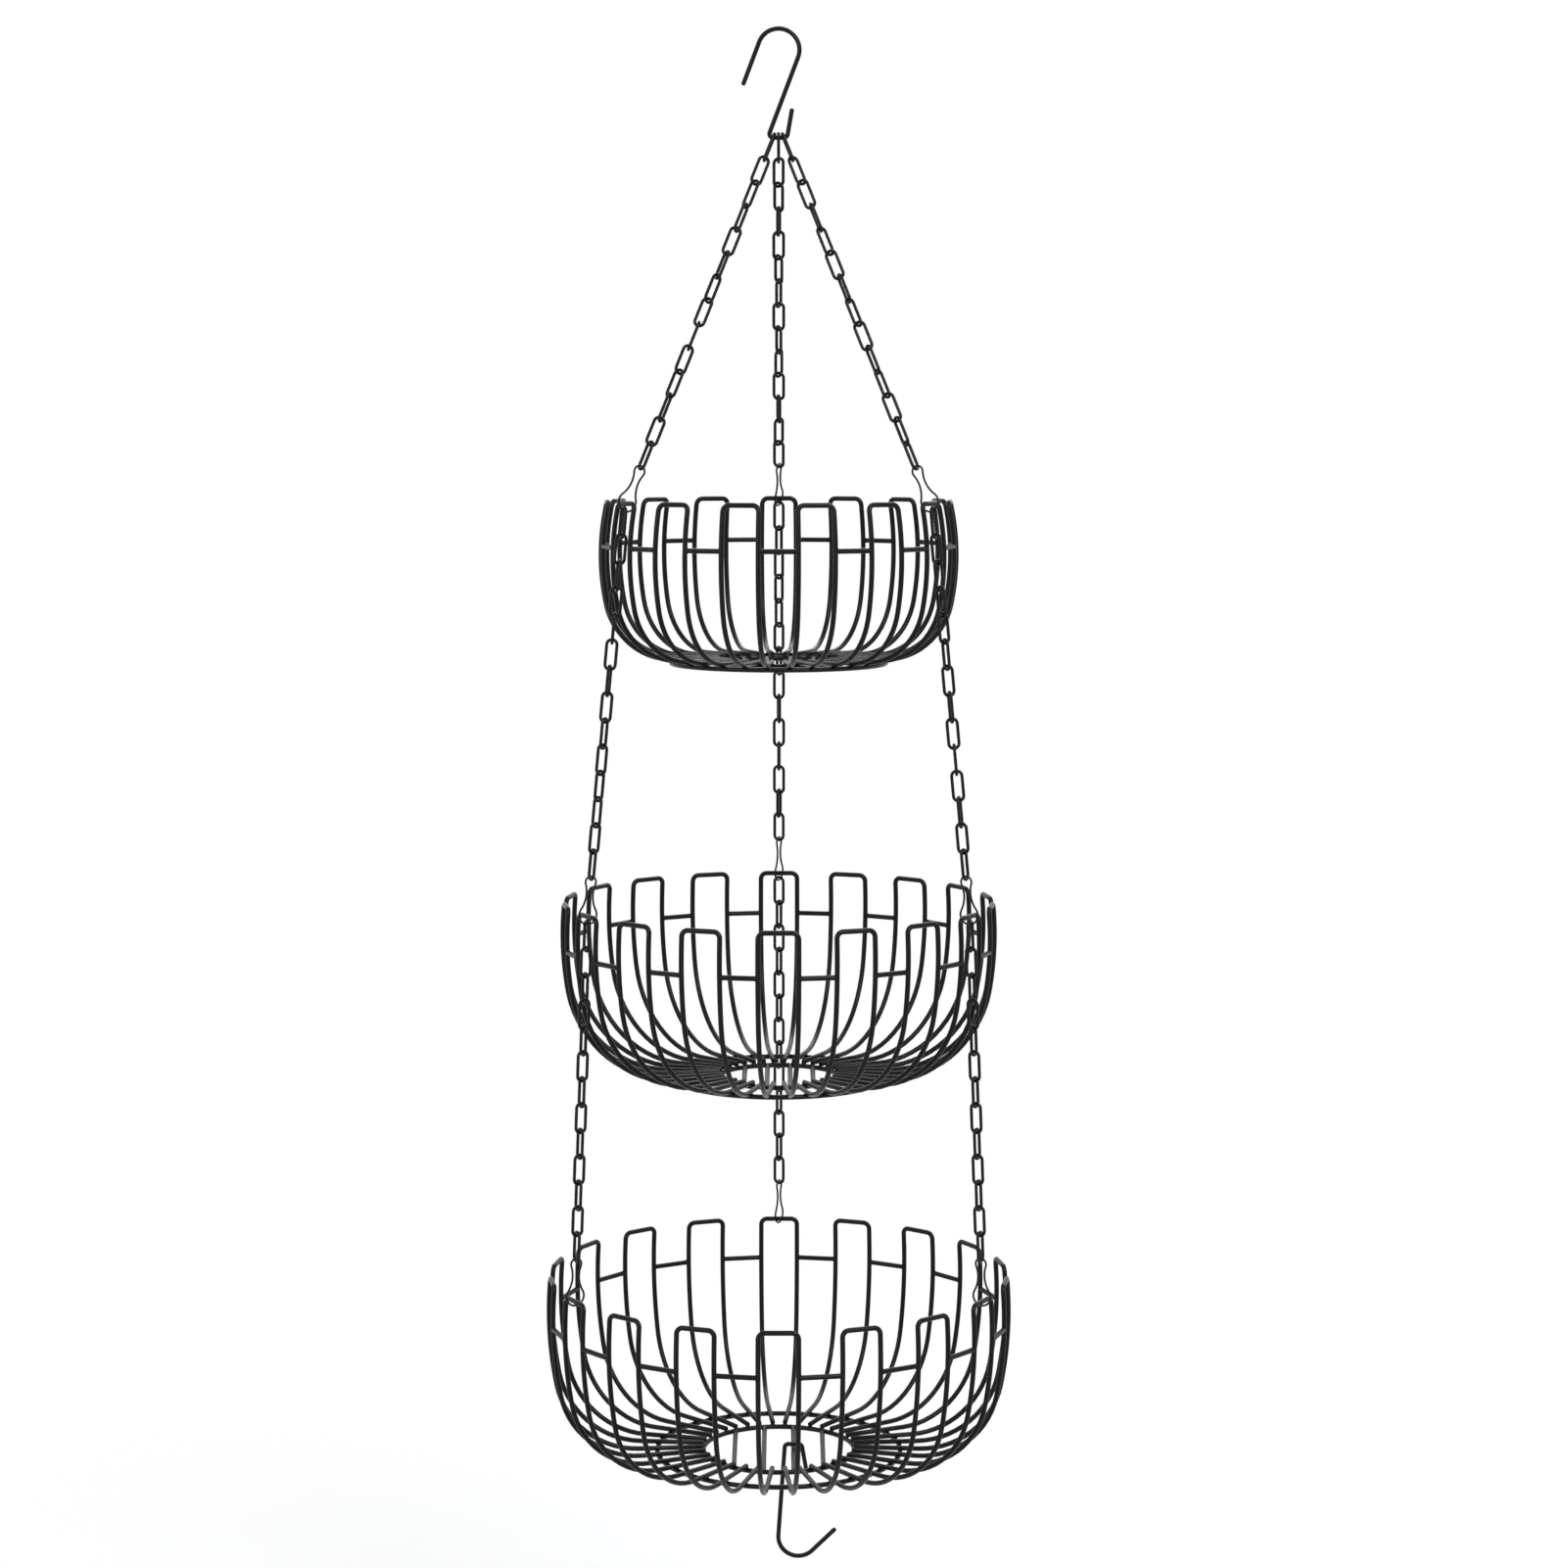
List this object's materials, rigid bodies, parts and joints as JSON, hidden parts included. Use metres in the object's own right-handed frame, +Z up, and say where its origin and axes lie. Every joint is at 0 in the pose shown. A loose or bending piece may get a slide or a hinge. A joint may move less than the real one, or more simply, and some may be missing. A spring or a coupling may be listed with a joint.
{
  "type": "hanging fruit basket",
  "caption": "Hanging basket of three round wire tiers that grow wider downwards, on chains from a ceiling hook, with a small fruit hook beneath.",
  "frame": {"origin": "inside top of the ceiling hook's curve, where it rests on its support", "axes": "+Z up, +Y to the back, so the front faces -Y, and +X to the right seen from the front"},
  "size_m": [0.299, 0.3025, 0.9829],
  "materials": {
    "black_coat": "black powder coat",
    "chain_coat": "black coated chain",
    "clip_metal": "dark grey plated wire"
  },
  "bodies": {
    "ceiling_hook": {"ceiling_hook": "black_coat"},
    "top_tier": {"upper_chain_back": "chain_coat", "upper_chain_left": "chain_coat", "upper_chain_right": "chain_coat", "top_clip_back": "clip_metal", "top_clip_left": "clip_metal", "top_clip_right": "clip_metal", "top_fingers": "black_coat", "top_link_bars": "black_coat", "top_base_ring": "black_coat", "top_inner_ring": "black_coat", "top_floor_wires": "black_coat"},
    "middle_line_back": {"middle_chain_back": "chain_coat", "middle_clip_back": "clip_metal"},
    "middle_line_left": {"middle_chain_left": "chain_coat", "middle_clip_left": "clip_metal"},
    "middle_line_right": {"middle_chain_right": "chain_coat", "middle_clip_right": "clip_metal"},
    "middle_basket": {"middle_fingers": "black_coat", "middle_link_bars": "black_coat", "middle_base_ring": "black_coat", "middle_inner_ring": "black_coat", "middle_floor_wires": "black_coat"},
    "lower_line_back": {"lower_chain_back": "chain_coat", "bottom_clip_back": "clip_metal"},
    "lower_line_left": {"lower_chain_left": "chain_coat", "bottom_clip_left": "clip_metal"},
    "lower_line_right": {"lower_chain_right": "chain_coat", "bottom_clip_right": "clip_metal"},
    "bottom_basket": {"bottom_fingers": "black_coat", "bottom_link_bars": "black_coat", "bottom_base_ring": "black_coat", "bottom_inner_ring": "black_coat", "bottom_floor_wires": "black_coat"},
    "fruit_hook": {"fruit_hook": "black_coat"}
  },
  "joints": [
    {"name": "top_tier_swing", "type": "hinge", "parent": "ceiling_hook", "child": "top_tier", "pos_m": [0, 0, -0.06552], "axis": [1, 0, 0], "range_deg": [-15, 15]},
    {"name": "middle_line_back_swing", "type": "hinge", "parent": "top_tier", "child": "middle_line_back", "pos_m": [0, 0.11003, -0.29645], "axis": [1, 0, 0], "range_deg": [-6, 6]},
    {"name": "middle_line_left_swing", "type": "hinge", "parent": "top_tier", "child": "middle_line_left", "pos_m": [-0.09523, -0.05502, -0.29647], "axis": [1, 0, 0], "range_deg": [-6, 6]},
    {"name": "middle_line_right_swing", "type": "hinge", "parent": "top_tier", "child": "middle_line_right", "pos_m": [0.09523, -0.05502, -0.29647], "axis": [1, 0, 0], "range_deg": [-6, 6]},
    {"name": "middle_basket_level", "type": "hinge", "parent": "middle_line_back", "child": "middle_basket", "pos_m": [0, 0.13645, -0.54681], "axis": [1, 0, 0], "range_deg": [-6, 6]},
    {"name": "lower_line_back_swing", "type": "hinge", "parent": "middle_basket", "child": "lower_line_back", "pos_m": [0, 0.13696, -0.55163], "axis": [1, 0, 0], "range_deg": [-6, 6]},
    {"name": "lower_line_left_swing", "type": "hinge", "parent": "middle_basket", "child": "lower_line_left", "pos_m": [-0.11861, -0.06848, -0.55163], "axis": [1, 0, 0], "range_deg": [-6, 6]},
    {"name": "lower_line_right_swing", "type": "hinge", "parent": "middle_basket", "child": "lower_line_right", "pos_m": [0.11861, -0.06848, -0.55163], "axis": [1, 0, 0], "range_deg": [-6, 6]},
    {"name": "bottom_basket_level", "type": "hinge", "parent": "lower_line_back", "child": "bottom_basket", "pos_m": [0, 0.14699, -0.78917], "axis": [1, 0, 0], "range_deg": [-6, 6]},
    {"name": "fruit_hook_swing", "type": "hinge", "parent": "bottom_basket", "child": "fruit_hook", "pos_m": [0.00954, 0, -0.90686], "axis": [0, 1, 0], "range_deg": [-20, 20]}
  ],
  "couplings": [
    {"joint": "middle_line_left_swing", "follows": "middle_line_back_swing", "ratio": 1},
    {"joint": "middle_line_right_swing", "follows": "middle_line_back_swing", "ratio": 1},
    {"joint": "middle_basket_level", "follows": "middle_line_back_swing", "ratio": -0.8063},
    {"joint": "lower_line_left_swing", "follows": "lower_line_back_swing", "ratio": 1},
    {"joint": "lower_line_right_swing", "follows": "lower_line_back_swing", "ratio": 1},
    {"joint": "bottom_basket_level", "follows": "lower_line_back_swing", "ratio": -0.9318}
  ]
}
